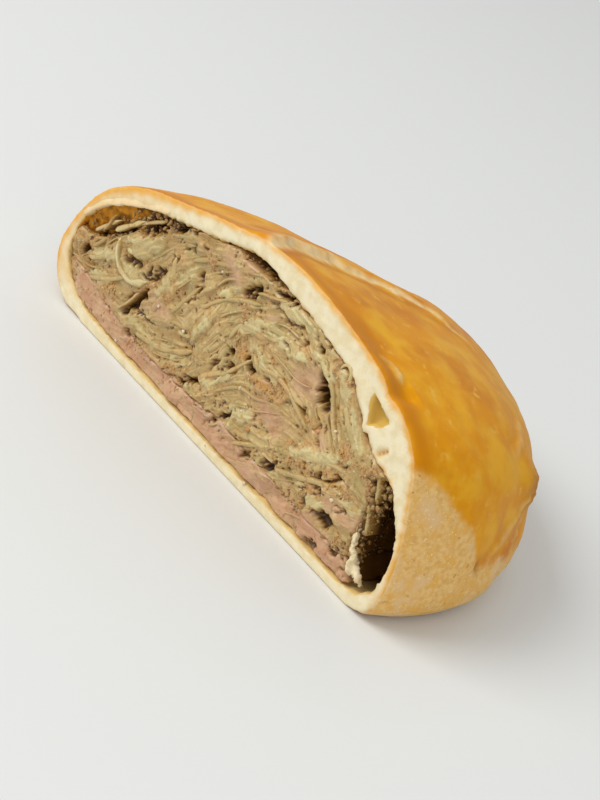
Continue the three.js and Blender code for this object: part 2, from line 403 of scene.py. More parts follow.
edge_width = 1.4 + 1.0 * rough(skin * [0, 1, 0], 4, seed=17)
edge_width *= 1.2 - 0.7 * smooth_step(behind, 2, 30)
raw_edge = np.exp(-(((from_edge - 0.4) / np.maximum(edge_width, 0.25)) ** 2))
paint(crust, "flap_edge", raw_edge * on_top * (0.95 + 0.5 * rough(skin, 1.5, seed=18)))
# Painted shadow: a darker orange-brown band on the top beside the flap's raised edge.
paint(crust, "seam_painted_shadow", 0.8 * np.exp(-(((from_edge - 3.8) / 1.7) ** 2)) * on_top * fade_back)
paint(crust, "crease", creased * is_outside)
paint(crust, "knob", np.maximum(knob * 0.8, pit) * is_outside)
streak = np.exp(-((behind - 2.2) / 2.2) ** 2) * smooth_step(skin[:, 2], 24, 34)
paint(crust, "cut_streak", is_outside * streak)
paint(crust, "rim", is_outside * (1 - smooth_step(skin[:, 2], 0.8, 2.4)))
paint(crust, "base", is_outside * smooth_step(-facing[:, 2], 0.75, 0.97))

# %% [markdown]
# ## Dough case: its finish
# Wheat dough, brushed with beaten egg and baked. The egg dries to a thin golden film, so the
# top has a soft warm gloss, while the bare side stays chalky: roughness goes from 0.5 to 0.8.
# The shader's own IOR of 1.5 suits dried egg and starch. Bread lets a little light in under
# its skin, which keeps the cut creamy. Patches of 2 to 18 mm are uneven browning, specks of
# 0.5 to 1.3 mm are flour and blisters, and grain of 0.5 mm is the crumb, drawn a little coarse
# so that it shows. A scan of bread could be wrapped round it, but layered noise fits every side.

# %% Case: finish
case_finish, tree, shader, place = new_finish("egg_washed_dough")
golden = mottled(tree, place, "#D98F0A", (6, 0.35, 0.68, "#E2A524"), (18, 0.46, 0.66, "#C67608"),
                 (2.4, 0.58, 0.78, "#E2AC44"))
golden = tinted(tree, golden, ("cut_streak", "#C87D0C"))
bare = mottled(tree, place, "#E4BC78", (0.9, 0.35, 0.7, "#D4A35A"), (3.2, 0.46, 0.66, "#DEAA56"),
               (7, 0.5, 0.66, "#DDB884"), (0.45, 0.56, 0.72, "#E8CE9C"), (1.3, 0.62, 0.8, "#BE8440"))
# The band beside the flap's edge is painted shadow in darker orange-brown.
colour = tinted(tree, bare, ("glaze", golden), ("knob", "#A96A18"), ("crease", "#E4BE74"),
                ("seam_painted_shadow", "#B66E10"), ("flap_edge", "#E6CC98"), ("rim", "#DEC294"))
tray_browned = mottled(tree, place, "#CFA264", (8, 0.4, 0.65, "#B47E3C"), (1.6, 0.5, 0.7, "#DCBC88"))
colour = tinted(tree, colour, ("base", tray_browned))
crumb = mottled(tree, place, "#E8DCBA", (2.4, 0.4, 0.65, "#E0D0A8"))
crumb = tinted(tree, crumb, ("steamed_edge", "#D2BD8C"), ("baked_edge", "#DDA038"))
# The inner wall is steamed dough, amber at the thin end, and dark brown where painted shade is marked
# behind the cut.
steamed = tinted(tree, "#D2B272", ("amber", "#C8872A"), ("painted_recess_shade", "#5E3C14"))
colour = tinted(tree, colour, ("cut", crumb), ("inside", steamed), ("pocket", "#D2AE58"))
film = add(tree, "Attribute", {"attribute_name": "glaze"}, "Fac")
gloss = add(tree, "MapRange", Value=film, To_Min=0.8, To_Max=0.5)
grain = add(tree, "TexNoise", Vector=place, Scale=1 / (0.5 * MM), Detail=4.0)
grain = add(tree, "Bump", Height=grain, Distance=0.08 * MM, Strength=0.6)
fill(tree, shader, Base_Color=colour, Roughness=gloss, Normal=grain, Specular_IOR_Level=0.22,
     Specular_Tint="#F0C67C", Subsurface_Weight=0.12, Subsurface_Radius=(1.0, 0.6, 0.3),
     Subsurface_Scale=1.5 * MM)
crust.data.materials.append(case_finish)
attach(crust, "root")
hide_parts("pastry_case")
print("case finished")

# %% [markdown]
# ## Filling: where it is and how it runs
# Inside is a packed heap of boiled cabbage leaves, folded over each other with minced meat
# between. The knife shows it as bands that sweep round each other. Each band's direction at
# a few folds is listed, and a smooth blend of those gives the direction anywhere else.
# A ray shot at the solids tells where the cut really is food.

# %% Filling: the cut and its folds
solids = {
    name: BVHTree.FromPolygons(
        [tuple(v.co / MM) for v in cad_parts[name].data.vertices],
        [tuple(p.vertices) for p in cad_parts[name].data.polygons],
    )
    for name in ("cabbage_filling", "meat_layer", "pastry_case")
}


def reaches_cut(name, x, z, behind=2.0):
    """True where this solid comes up to the cut at a place, in millimetres."""
    hit = solids[name].ray_cast(Vector((x, FACE_Y - 10, z)), Vector((0, 1, 0)))[0]
    return hit is not None and hit.y < FACE_Y + behind


def is_food(x, z):
    """True where filling or meat comes up to the cut."""
    return reaches_cut("cabbage_filling", x, z) or reaches_cut("meat_layer", x, z)


# Across, up, and the slope of the leaves there in degrees.
FOLDS = [
    (-47, 14, 30), (-42, 20, 38), (-34, 28, 42), (-23, 33, 25), (-12, 36, 12), (-14, 30, 32),
    (-29, 24, 42), (-21, 25, 55), (-27, 15, 46), (-36, 9, 18), (-44, 7, -5), (-22, 12, 0),
    (-15, 15, 12), (-15, 24, 52), (-8, 22, 62), (-4, 28, 50), (3, 34, 36), (9, 36, 18),
    (16, 37, -2), (23, 35, -25), (31, 33, -52), (36, 28, -48), (6, 23, -52), (2, 20, 72),
    (12, 25, -14), (8, 30, 22), (19, 30, 0), (28, 26, -46), (20, 22, -9), (34, 23, -30),
    (42, 22, -30), (37, 18, 24), (44, 13, 22), (29, 15, 30), (18, 17, 27), (7, 16, 38),
    (-3, 13, 46), (-7, 8, 38), (5, 9, 38), (14, 8, 18), (22, 9, 34), (33, 8, 34), (41, 7, 44),
    (20, 3, 2), (-20, 4, 0), (0, 3, 0), (40, 3, 8),
]
FOLD_REACH = 4.5
CELL = 0.2
across_line = np.arange(-57, 58, CELL)
up_line = np.arange(0, 44, CELL)
map_x, map_z = np.meshgrid(across_line, up_line)


def soften(values, reach):
    """Blurs a map by a reach in millimetres."""
    pace_up = np.fft.fftfreq(map_x.shape[0], CELL)[:, None]
    pace_across = np.fft.fftfreq(map_x.shape[1], CELL)[None, :]
    keep = np.exp(-0.5 * (2 * math.pi * reach) ** 2 * (pace_up ** 2 + pace_across ** 2))
    return np.fft.ifft2(np.fft.fft2(values) * keep).real


def random_field(size, seed):
    """A map of soft random blobs of a size in millimetres, about -1 to 1."""
    soft = soften(np.random.default_rng(seed).standard_normal(map_x.shape), 0.4 * size)
    return soft / soft.std()


def slope_map():
    """The direction in which the leaves run, everywhere on the map."""
    up_share, across_share = np.zeros(map_x.shape), np.zeros(map_x.shape)
    for x, z, slope in FOLDS:
        away = ((map_x - x) ** 2 + (map_z - z) ** 2) / FOLD_REACH ** 2
        weight = 1 / (0.05 + away ** 2)
        up_share += weight * math.sin(math.radians(2 * slope))
        across_share += weight * math.cos(math.radians(2 * slope))
    return np.arctan2(up_share, across_share) / 2 + 0.16 * random_field(4, 51)


leaf_slope = slope_map()


def on_map(values, x, z):
    """Reads a map at any places, in millimetres."""
    column = np.clip(((np.asarray(x) - across_line[0]) / CELL).round().astype(int), 0, values.shape[1] - 1)
    row = np.clip(((np.asarray(z) - up_line[0]) / CELL).round().astype(int), 0, values.shape[0] - 1)
    return values[row, column]


print("map", map_x.shape, "folds", len(FOLDS))

# %% [markdown]
# ## Filling: combed layers
# Random grain is smeared along the folds, as layers are when they are pressed together. Fine
# grain gives fibres, and coarse grain gives leaves: where its value passes a step, one leaf
# ends and the next begins, so each gets its own tone and a thin crevice runs between.

# %% Filling: combing


def comb(field, reach):
    """Smears a map along the leaves, to both sides, by a reach in millimetres."""
    total = field.copy()
    steps = int(reach / CELL)
    for way in (1, -1):
        x, z = map_x.copy(), map_z.copy()
        run_x, run_z = way * np.cos(leaf_slope), way * np.sin(leaf_slope)
        for _ in range(steps):
            x += CELL * run_x
            z += CELL * run_z
            turn = on_map(leaf_slope, x, z)
            next_x, next_z = np.cos(turn), np.sin(turn)
            same = np.where(next_x * run_x + next_z * run_z < 0, -1, 1)
            run_x, run_z = next_x * same, next_z * same
            total += on_map(field, x, z)
    return (total - total.mean()) / total.std()


fibres = comb(random_field(0.22, 1), 3.0)
strands = comb(random_field(0.6, 5), 4.5)
layers = comb(random_field(1.3, 2), 8.0) + 0.25 * random_field(4, 3)
LEAVES_A_SWING = 1.6
leaf_count = layers * LEAVES_A_SWING
leaf_share = leaf_count - np.floor(leaf_count)
leaf_tone = np.random.default_rng(4).random(64)[np.floor(leaf_count).astype(int) % 64]
pace = np.hypot(*np.gradient(leaf_count, CELL))
to_edge = np.minimum(leaf_share, 1 - leaf_share) / np.maximum(pace, 0.15)
crevice = 1 - smooth_step(to_edge, 0.0, 0.25)
roundness = np.sqrt(np.clip(to_edge, 0, 1.2) / 1.2)
print("crevices cover", round(float(crevice.mean()), 2))

# %% [markdown]
# ## Filling: gaps, mince and meat
# The leaves shrank as they baked, so dark gaps stay between the folds. Each is a slanted
# hollow of its own length, width and depth, with a ragged edge. In some places grainy mince
# covers the leaves, and some of the meat is pinker than the rest.

# %% Filling: gaps
# Across, up, slope, half length, half width, depth.
GAPS = [
    (-48.3, 13.5, 35, 1.7, 0.9, 2.5), (-30, 30.5, 38, 6.5, 2.0, 4.0), (-28.5, 14, 47, 4.6, 0.9, 3.5),
    (-30.5, 10.6, 60, 1.4, 0.6, 2.5), (-28, 6.8, 60, 1.3, 0.6, 2.0), (-11.5, 28.6, 15, 1.3, 0.5, 2.0),
    (-11.5, 26.0, 52, 2.2, 0.35, 2.0), (-13.8, 22.8, 60, 1.2, 0.4, 1.5), (1.8, 34.6, 44, 2.7, 0.75, 2.5),
    (11.5, 38.4, 14, 4.2, 0.6, 3.0), (22.8, 35.8, 20, 1.2, 0.8, 2.5), (26.6, 29.0, -52, 2.9, 1.5, 4.5),
    (31, 36.2, 15, 1.9, 0.4, 2.0), (18.7, 33.6, 60, 1.2, 0.4, 1.6), (7.6, 22.0, -62, 2.0, 0.4, 2.0),
    (1.6, 20.8, 60, 1.6, 0.8, 2.5), (3.2, 18.6, 20, 1.5, 0.5, 2.0), (-1.0, 17.5, 60, 1.8, 0.35, 1.5),
    (13.5, 22.2, 0, 1.4, 0.3, 1.2), (20, 21.9, -15, 1.0, 0.35, 1.2), (23.6, 22.4, 5, 0.9, 0.4, 1.5),
    (36.5, 17.0, 26, 4.8, 0.35, 1.8), (37, 20.4, 22, 2.0, 0.3, 1.2), (34.0, 13.6, 70, 1.0, 0.4, 1.5),
    (37.5, 9.6, 20, 2.4, 1.1, 2.0), (42.0, 6.0, 55, 0.9, 0.45, 2.0), (36.5, 3.3, 15, 2.2, 0.4, 1.5),
    (31.8, 9.6, 60, 1.1, 0.5, 1.2), (20.8, 9.0, 38, 2.0, 0.5, 2.0), (4.8, 8.4, 40, 4.6, 0.5, 2.2),
    (-6.0, 9.4, 28, 3.4, 0.55, 3.0), (-11, 7.2, 10, 1.2, 0.4, 1.5), (46.5, 20, -60, 3.6, 1.1, 3.0),
    (28.6, 22.6, 80, 0.8, 0.4, 1.0), (15, 31.0, 5, 1.2, 0.3, 1.0), (-17.0, 31.6, 20, 1.1, 0.35, 1.2),
    (-20.5, 27.5, 70, 1.8, 0.4, 1.8), (-23.5, 22.5, 60, 1.6, 0.5, 1.6), (40.5, 13.2, 25, 1.8, 0.3, 1.2),
    (-33.2, 20.3, 12, 3.1, 0.9, 1.5), (-25.5, 21.6, 40, 3.4, 0.45, 2.0), (-22.0, 33.6, 32, 4.2, 1.0, 3.5),
    (13.0, 35.3, 0, 5.2, 0.3, 1.5), (-26, 12.4, 0, 6.0, 0.3, 1.4), (14, 6.8, 40, 2.2, 0.4, 1.6),
]
# Broad pale leaves, seen flat or curled: across, up, slope, half length, half width, rise.
PALE_LEAVES = [
    (-29.6, 24.9, 42, 6.8, 2.1, 0.9), (-32.5, 18.0, 6, 5.0, 2.2, 0.9), (-27.2, 20.4, 36, 3.8, 1.0, 0.5),
    (13.6, 37.0, 2, 7.8, 1.5, 0.45), (-42, 16.4, 28, 7.0, 1.5, 0.35), (-40, 12.6, 22, 7.0, 1.1, 0.2),
    (-21.6, 21, 64, 4.4, 0.9, 0.3), (-16.4, 26, 58, 4.6, 1.0, 0.3), (-25, 9.8, -3, 8.5, 1.1, 0.3),
    (6.5, 29.6, 40, 6.5, 1.1, 0.3), (31, 18.2, 24, 9.0, 1.4, 0.3), (8, 11, 36, 6.5, 1.2, 0.3),
    (20, 6.9, 38, 5.5, 1.4, 0.35), (36, 11.5, 20, 6.0, 1.2, 0.25), (1, 14.6, 42, 5.0, 1.0, 0.25),
    (25, 33.4, -30, 4.5, 1.3, 0.3), (31.4, 33, -62, 4.2, 1.3, 0.35), (37.4, 27.4, -52, 5.0, 1.3, 0.3),
    (-7.4, 20, 62, 5.0, 1.1, 0.3), (15.6, 30.8, 3, 7.0, 1.0, 0.25), (42.5, 15.6, 18, 4.0, 1.0, 0.3),
    (-4, 31, 44, 5.5, 0.9, 0.25), (11, 24.4, -20, 6.5, 1.0, 0.25), (-13, 11, 14, 5, 1.1, 0.25),
]
ragged_x = map_x + 0.38 * random_field(1.4, 61) + 0.24 * random_field(0.5, 62)
ragged_z = map_z + 0.38 * random_field(1.4, 63) + 0.24 * random_field(0.5, 64)


def slanted_oval(x, z, slope, length, width):
    """1 in the middle of a ragged oval, 0 on its edge and less outside."""
    turn = math.radians(slope)
    along = ((ragged_x - x) * math.cos(turn) + (ragged_z - z) * math.sin(turn)) / length
    aside = ((ragged_z - z) * math.cos(turn) - (ragged_x - x) * math.sin(turn)) / width
    return 1 - np.hypot(along, aside)


gap_map = np.zeros(map_x.shape)
for *oval, depth in GAPS:
    gap_map = np.maximum(gap_map, depth * smooth_step(slanted_oval(*oval), -0.3, 0.45))
pale_map = np.zeros(map_x.shape)
rise_map = np.zeros(map_x.shape)
for *oval, rise in PALE_LEAVES:
    there = smooth_step(slanted_oval(*oval), 0.0, 0.25)
    pale_map = np.maximum(pale_map, there)
    rise_map = np.maximum(rise_map, rise * np.sqrt(np.clip(slanted_oval(*oval), 0, 0.6) / 0.6))
pits = smooth_step(random_field(0.45, 81), 0.9, 1.7) * smooth_step(random_field(2.6, 82), 0.1, 1.1)
pits += smooth_step(random_field(0.5, 83), 0.6, 1.6) * crevice * smooth_step(random_field(2, 84), -0.2, 0.8)
pit_map = np.clip(pits, 0, 1) * (1 - 0.9 * pale_map)

# %% Filling: mince and pinker meat
# Across, up, radius across, radius up.
MEAT_SPOTS = [
    (22, 28.5, 4.5, 4.5), (-3.5, 36, 4.5, 2.8), (17, 16.5, 6.5, 3.6), (41, 12.5, 5, 3),
    (34, 5.5, 12, 3.0), (9, 32.8, 4, 2.0), (30, 22.3, 3.5, 2.0), (-14, 6.0, 9, 2.5),
    (-42, 7.5, 8, 3.0), (2, 4.5, 20, 2.2), (-20, 16, 6, 3),
]
meat_map = np.zeros(map_x.shape)
smeared_x = map_x + 1.3 * random_field(3, 65)
smeared_z = map_z + 1.0 * random_field(3, 66)
for x, z, wide, tall in MEAT_SPOTS:
    away = np.hypot((smeared_x - x) / wide, (smeared_z - z) / tall)
    meat_map = np.maximum(meat_map, 1 - smooth_step(away, 0.3, 1.2))
meat_map = np.maximum(meat_map, 1 - smooth_step(map_z + 0.7 * random_field(3, 72), 3.5, 6.5))
mince_map = smooth_step(0.8 * random_field(5, 67) + 0.4 * random_field(1.6, 68), 0.45, 0.9)
mince_map *= (1 - 0.7 * meat_map) * (1 - 0.9 * pale_map)
pit_map *= 1 - 0.75 * meat_map

# %% Filling: relief of the cut
grains = random_field(0.45, 69)
leafy = 1 - mince_map
leafy *= 1 - 0.6 * np.maximum(meat_map, 0.6 * pale_map)
relief_map = leafy * (0.18 - 0.28 * roundness - 0.2 * (leaf_tone - 0.5) - 0.07 * strands - 0.03 * fibres)
relief_map -= rise_map + 0.04 * strands
relief_map += mince_map * (-0.12 - 0.13 * grains - 0.10 * random_field(1.1, 70))
relief_map += -0.2 * random_field(3.5, 71) + gap_map + 0.6 * pit_map
relief_map = soften(relief_map, 0.22)
# Painted shade: brown is marked where leaves meet and in small dips of the relief, where shade falls.
sunk = np.clip((relief_map - soften(relief_map, 0.9)) / 0.45, 0, 1)
crevice_shade_map = np.maximum(crevice * leafy, sunk)
tone_map = 0.4 * leaf_tone + 0.35 * smooth_step(strands, -2, 2) + 0.25 * smooth_step(fibres, -2, 2)
tone_map += 0.4 * (smooth_step(map_x, -35, 25) - 0.5)
print("relief from", relief_map.min(), "to", relief_map.max())

# %% [markdown]
# ## Filling and meat: shape
# The filling and the slice of meat under it keep the outline of their solids. Only the face
# at the cut needs fine points, so that part alone is subdivided, and then the map's relief
# presses it in and out. The sides swell a little, so that no gap shows against the dough.

# %% Filling and meat: shape


def cut_face_piece(node, name, voxel, swell):
    """A copy of a layer with a fine face at the cut, shaped and painted by the maps."""
    made = merged_copy(node, name)
    apply_modifier(made, "REMESH", mode="VOXEL", voxel_size=voxel * MM, use_smooth_shade=True)
    choose(made)
    for _ in range(2):
        for polygon in made.data.polygons:
            lowest = min(made.data.vertices[i].co.y for i in polygon.vertices)
            polygon.select = polygon.normal.y < -0.4 and lowest < CUT_Y + 1.6 * MM
        bpy.ops.object.mode_set(mode="EDIT")
        bpy.ops.mesh.select_mode(type="FACE")
        bpy.ops.mesh.subdivide(number_cuts=1)
        bpy.ops.object.mode_set(mode="OBJECT")
    body = points_of(made)
    facing = normals_of(made)
    in_front = smooth_step(FACE_Y + 2.2 - body[:, 1], 0, 1.2) * smooth_step(-facing[:, 1], 0.2, 0.6)
    level = in_front * (FACE_Y + 0.15 - body[:, 1])
    relief = on_map(relief_map, body[:, 0], body[:, 2])
    side = 1 - in_front
    lumps = 0.5 * rough(body, 2.2, seed=23, depth=3)
    body += facing * (side * (swell + lumps * smooth_step(body[:, 1], FACE_Y + 1, FACE_Y + 3)))[:, None]
    body[:, 1] += level + in_front * relief
    move_points(made, body)
    face_smoothly(made)
    # Painted shade: gaps and pits are marked dark, and so are the sides that lie further behind the cut;
    # the crevices and small dips between leaves are marked brown.
    hollow = np.clip(on_map(gap_map / 2.2 + 0.75 * pit_map, body[:, 0], body[:, 2]), 0, 1)
    painted_recess_shade = side * smooth_step(body[:, 1], FACE_Y + 0.5, FACE_Y + 6)
    paint(made, "painted_hollow_shade", np.maximum(in_front * hollow, 0.85 * painted_recess_shade))
    paint(made, "crevice", in_front * on_map(crevice_shade_map, body[:, 0], body[:, 2]))
    paint(made, "pale", in_front * on_map(pale_map, body[:, 0], body[:, 2]))
    paint(made, "pink", on_map(meat_map, body[:, 0], body[:, 2]))
    paint(made, "mince", np.maximum(side, on_map(mince_map, body[:, 0], body[:, 2])))
    paint(made, "tone", on_map(tone_map, body[:, 0], body[:, 2]))
    print(name, "triangles", triangles_in(made))
    return made


paste = cut_face_piece("cabbage_filling", "cabbage_and_mince", 0.86, 0.22)
meat = cut_face_piece("meat_layer", "meat_slice", 0.86, 0.3)

# %% [markdown]
# ## Filling: cabbage leaves
# A leaf shows at the cut as a band about a millimetre thick that follows its fold. One blank
# strip is modelled by hand, with a rounded front edge. Every leaf is a copy of it, laid along
# a path that walks through the folds until it meets another leaf, a gap or the case.

# %% Leaves: the blank strip
LEAF_STEPS = 26
LEAF_DEPTH = 3.2
bpy.ops.object.select_all(action="DESELECT")
bpy.ops.mesh.primitive_cube_add(size=1, location=(0.5, 0.5, 0))
blank = bpy.context.object
blank.name = "leaf_blank"
bpy.ops.object.mode_set(mode="EDIT")
bpy.ops.mesh.select_all(action="DESELECT")
blank_mesh = bmesh.from_edit_mesh(blank.data)
for edge in blank_mesh.edges:
    edge.select = abs(edge.verts[0].co.x - edge.verts[1].co.x) > 0.5
bmesh.update_edit_mesh(blank.data)
bpy.ops.mesh.subdivide(number_cuts=LEAF_STEPS)
blank_mesh = bmesh.from_edit_mesh(blank.data)
for edge in blank_mesh.edges:
    lengthwise = abs(edge.verts[0].co.x - edge.verts[1].co.x) > 0.001
    edge.select = lengthwise and max(v.co.y for v in edge.verts) < -0.49
bmesh.update_edit_mesh(blank.data)
bpy.ops.mesh.bevel(offset=0.24, segments=2, profile=0.6)
bpy.ops.mesh.select_all(action="SELECT")
bpy.ops.mesh.quads_convert_to_tris()
bpy.ops.object.mode_set(mode="OBJECT")
blank_points = np.array([tuple(v.co) for v in blank.data.vertices]) + [0.5, 0.5, 0]
blank_faces = np.array([tuple(p.vertices) for p in blank.data.polygons])
print("blank", len(blank_points), "points", blank_points.min(axis=0), blank_points.max(axis=0))

# %% Leaves: walking their paths
random.seed(11)
STEP = 0.45
CROWD = {}


def is_crowded(x, z, half, own):
    """True if another leaf is already too near for one of this half thickness."""
    column, row = math.floor(x / 2), math.floor(z / 2)
    for i in (column - 1, column, column + 1):
        for j in (row - 1, row, row + 1):
            for other_x, other_z, other_half, leaf in CROWD.get((i, j), ()):
                room = half + other_half + 0.12
                if leaf != own and (x - other_x) ** 2 + (z - other_z) ** 2 < room ** 2:
                    return True
    return False


def has_room(x, z, half, own):
    """True where a leaf can lie: on food, clear of gaps and of other leaves."""
    clear = float(on_map(gap_map, x, z)) < 0.4 and not is_crowded(x, z, half, own)
    return clear and is_food(x, z)


def walk(x, z, half, own, way, longest):
    """Steps from a place along the folds while there is room."""
    path = []
    turned = float(on_map(leaf_slope, x, z)) + (math.pi if way < 0 else 0)
    for _ in range(int(longest / STEP)):
        x += STEP * math.cos(turned)
        z += STEP * math.sin(turned)
        if not has_room(x, z, half, own):
            break
        path.append((x, z))
        slope = float(on_map(leaf_slope, x, z))
        if math.cos(slope - turned) < 0:
            slope += math.pi
        turned += math.remainder(slope - turned, 2 * math.pi)
    return path


leaves = []
# Leaves that stand out: their path, thickness, how far they stand proud and how pale they are.
BIG_LEAVES = [
    ([(-38.0, 22.4), (-37.4, 18.6), (-34.2, 16.3), (-29.8, 16.6), (-26.4, 19.2)], 1.5, 0.75, 1.0),
    ([(-36.4, 23.4), (-32.8, 24.2), (-29.0, 26.0)], 1.6, 0.5, 1.0),
    ([(-35.6, 21.4), (-32.4, 21.9), (-29.2, 23.4)], 1.3, 0.2, 0.9),
    ([(31.0, 31.8), (31.8, 34.2), (31.6, 36.4), (30.2, 37.0), (29.0, 36.0), (28.8, 34.6)], 0.8, 0.3, 0.8),
    ([(-44.6, 20.4), (-43.4, 21.8), (-42.4, 23.8), (-42.2, 25.0)], 0.8, 0.2, 0.3),
    ([(44.2, 26.0), (46.0, 23.2), (46.8, 19.4)], 1.1, -0.3, 0.3),
    ([(45.0, 19.0), (46.6, 16.2), (47.4, 13.2)], 1.0, -0.5, 0.5),
    ([(-47.4, 18.6), (-43.8, 22.0), (-40.6, 24.8)], 0.9, -0.2, 0.7),
    ([(-41.2, 22.2), (-37.0, 25.6), (-33.4, 28.6)], 1.1, -0.1, 0.75),
    ([(-36.4, 26.0), (-31.4, 29.6), (-27.2, 32.0)], 0.8, -0.6, 0.4),
    ([(-44.6, 9.6), (-38.4, 12.4), (-33.2, 16.2)], 1.1, 0.1, 0.6),
    ([(-46.4, 13.2), (-41.8, 15.4), (-38.8, 18.8)], 1.2, 0.2, 0.7),
    ([(-25.6, 8.2), (-18.6, 9.4), (-12.6, 11.8), (-8.2, 14.8)], 1.3, 0.1, 0.65),
    ([(-22.4, 14.6), (-20.6, 19.8), (-19.4, 24.6), (-20.8, 28.2)], 1.2, 0.2, 0.7),
    ([(-17.2, 17.6), (-14.2, 22.6), (-11.6, 27.0)], 1.0, 0.15, 0.5),
    ([(0.2, 22.8), (1.4, 26.6), (4.6, 29.6), (9.4, 31.6), (15.2, 32.2), (20.6, 30.8)], 1.3, 0.15, 0.7),
    ([(1.8, 23.2), (3.6, 26.6), (7.4, 29.2), (12.6, 30.0)], 0.8, 0.1, 0.5),
    ([(2.6, 17.0), (5.2, 20.2), (7.8, 23.4)], 0.9, 0.15, 0.55),
    ([(-4.2, 11.6), (0.2, 15.6), (3.4, 17.4)], 1.1, 0.1, 0.6),
    ([(9.6, 23.2), (14.6, 24.8), (20.4, 23.6), (26.8, 20.6)], 0.9, 0.1, 0.55),
    ([(25.2, 14.4), (30.8, 17.0), (36.4, 19.8), (42.4, 20.8)], 1.0, 0.2, 0.75),
    ([(22.4, 9.4), (28.2, 11.8), (34.4, 15.0), (40.2, 16.4)], 1.2, 0.15, 0.65),
    ([(9.8, 6.4), (14.4, 9.2), (19.2, 11.6), (24.8, 13.0)], 1.0, 0.1, 0.6),
    ([(32.6, 30.6), (35.8, 27.0), (39.6, 24.2), (43.2, 21.6)], 1.4, 0.1, 0.7),
    ([(-24.2, 30.8), (-18.6, 33.6), (-12.4, 35.2), (-6.2, 36.0)], 1.0, 0.1, 0.45),
    ([(-9.6, 23.4), (-5.2, 28.2), (0.2, 31.4), (5.4, 33.4)], 0.9, 0.15, 0.6),
    ([(27.2, 32.4), (29.8, 29.4), (31.2, 26.0), (34.2, 23.0)], 1.2, 0.1, 0.65),
    ([(-33.2, 8.8), (-30.0, 12.4), (-28.0, 16.0)], 0.8, 0.1, 0.5),
]


def spread_evenly(corners):
    """A smooth path through a few corners, in steps of one length."""
    corners = np.array(corners, dtype=float)
    for _ in range(3):
        between = [(0.75 * a + 0.25 * b, 0.25 * a + 0.75 * b) for a, b in zip(corners[:-1], corners[1:])]
        corners = np.array([corners[0]] + [spot for pair in between for spot in pair] + [corners[-1]])
    gone = np.concatenate([[0], np.cumsum(np.linalg.norm(np.diff(corners, axis=0), axis=1))])
    stops = np.linspace(0, gone[-1], max(4, int(gone[-1] / STEP)))
    return np.column_stack([np.interp(stops, gone, corners[:, k]) for k in (0, 1)])


def keep_leaf(path, thick, proud, tone):
    """Remembers a leaf, and the places that it takes up."""
    for x, z in path:
        CROWD.setdefault((math.floor(x / 2), math.floor(z / 2)), []).append((x, z, thick / 2, len(leaves)))
    leaves.append((np.array(path), thick, proud, tone))


for corners, thick, proud, tone in BIG_LEAVES:
    keep_leaf(spread_evenly(corners), thick, proud - 0.08, tone)
THICKNESSES = [0.35, 0.45, 0.6, 0.8, 1.0, 1.3]
HOW_OFTEN = [5, 5, 5, 4, 3, 1]
LEAF_TRIES, MOST_LEAVES = 2600, 85
for _ in range(LEAF_TRIES):
    x = random.uniform(-55, 55)
    z = random.uniform(5, 41)
    thick = random.choices(THICKNESSES, HOW_OFTEN)[0]
    if not has_room(x, z, thick / 2, -1) or float(on_map(mince_map, x, z)) > 0.4:
        continue
    if len(leaves) > MOST_LEAVES:
        break
    reach = random.choice((4, 7, 10, 14))
    ahead = walk(x, z, thick / 2, -1, 1, reach)
    behind_it = walk(x, z, thick / 2, -1, -1, reach)
    path = behind_it[::-1] + [(x, z)] + ahead
    if len(path) < 6:
        continue
    keep_leaf(path, thick, random.uniform(-0.25, -0.02), random.uniform(0.2, 0.8))
print("leaves", len(leaves), "mean length", np.mean([len(leaf[0]) * STEP for leaf in leaves]))

# %% Leaves: laying the strips


def lay_strips(name, strips, depth=LEAF_DEPTH):
    """Copies of the blank along paths, in one mesh, with their tones painted on."""
    rows, faces, tones, across = [], [], [], []
    for number, (path, thick, proud, tone) in enumerate(strips):
        share = blank_points[:, 0] * (len(path) - 1)
        spots = np.arange(len(path))
        eased = path.copy()
        eased[1:-1] = (path[:-2] + 2 * path[1:-1] + path[2:]) / 4
        run = np.gradient(eased, axis=0)
        run /= np.linalg.norm(run, axis=1)[:, None]
        x, z, run_x, run_z = (np.interp(share, spots, line) for line in (*eased.T, *run.T))
        end_away = np.minimum(share, len(path) - 1 - share) * STEP
        width = thick * (0.3 + 0.7 * smooth_step(end_away, 0, 1.4))
        line = np.column_stack([share * STEP, np.full(len(share), number * 9.3), np.zeros(len(share))])
        width *= 1 + 0.35 * rough(line, 2.0, seed=31)
        front = -proud + 0.2 * rough(line, 3.0, seed=32) + 0.05 * rough(line, 0.8, seed=33)
        front += 0.5 * (1 - smooth_step(end_away, 0, 1.0))
        offset = blank_points[:, 2] * width
        y = FACE_Y + front + blank_points[:, 1] * depth + random.uniform(-0.5, 0.5) * offset
        faces.append(blank_faces + number * len(blank_points))
        rows.append(np.column_stack([x - run_z * offset, y, z + run_x * offset]))
        tones.append(np.full(len(share), tone))
        across.append(np.abs(blank_points[:, 2]) * 2)
    return joined(name, rows, faces, tones, across)


def joined(name, rows, faces, tones, across, shade=0.0):
    """One mesh of many parts, painted for the filling's finish."""
    places = np.concatenate(rows)
    mesh = bpy.data.meshes.new(name)
    mesh.from_pydata((places * MM).tolist(), [], np.concatenate(faces).tolist())
    made = bpy.data.objects.new(name, mesh)
    bpy.context.collection.objects.link(made)
    face_smoothly(made)
    tones = np.concatenate(tones)
    paint(made, "tone", tones)
    paint(made, "pale", smooth_step(tones, 0.6, 1.0))
    # Painted shade: each strip's sides, where it meets the next leaf, are marked brown.
    paint(made, "crevice", smooth_step(np.concatenate(across), 0.6, 1.0))
    paint(made, "pink", on_map(meat_map, places[:, 0], places[:, 2]))
    # Painted shade: pieces are marked darker the further they lie behind the cut, plus any painted shade
    # they are given.
    paint(made, "painted_hollow_shade", shade + 0.6 * smooth_step(places[:, 1], FACE_Y + 0.8, FACE_Y + 6))
    return made


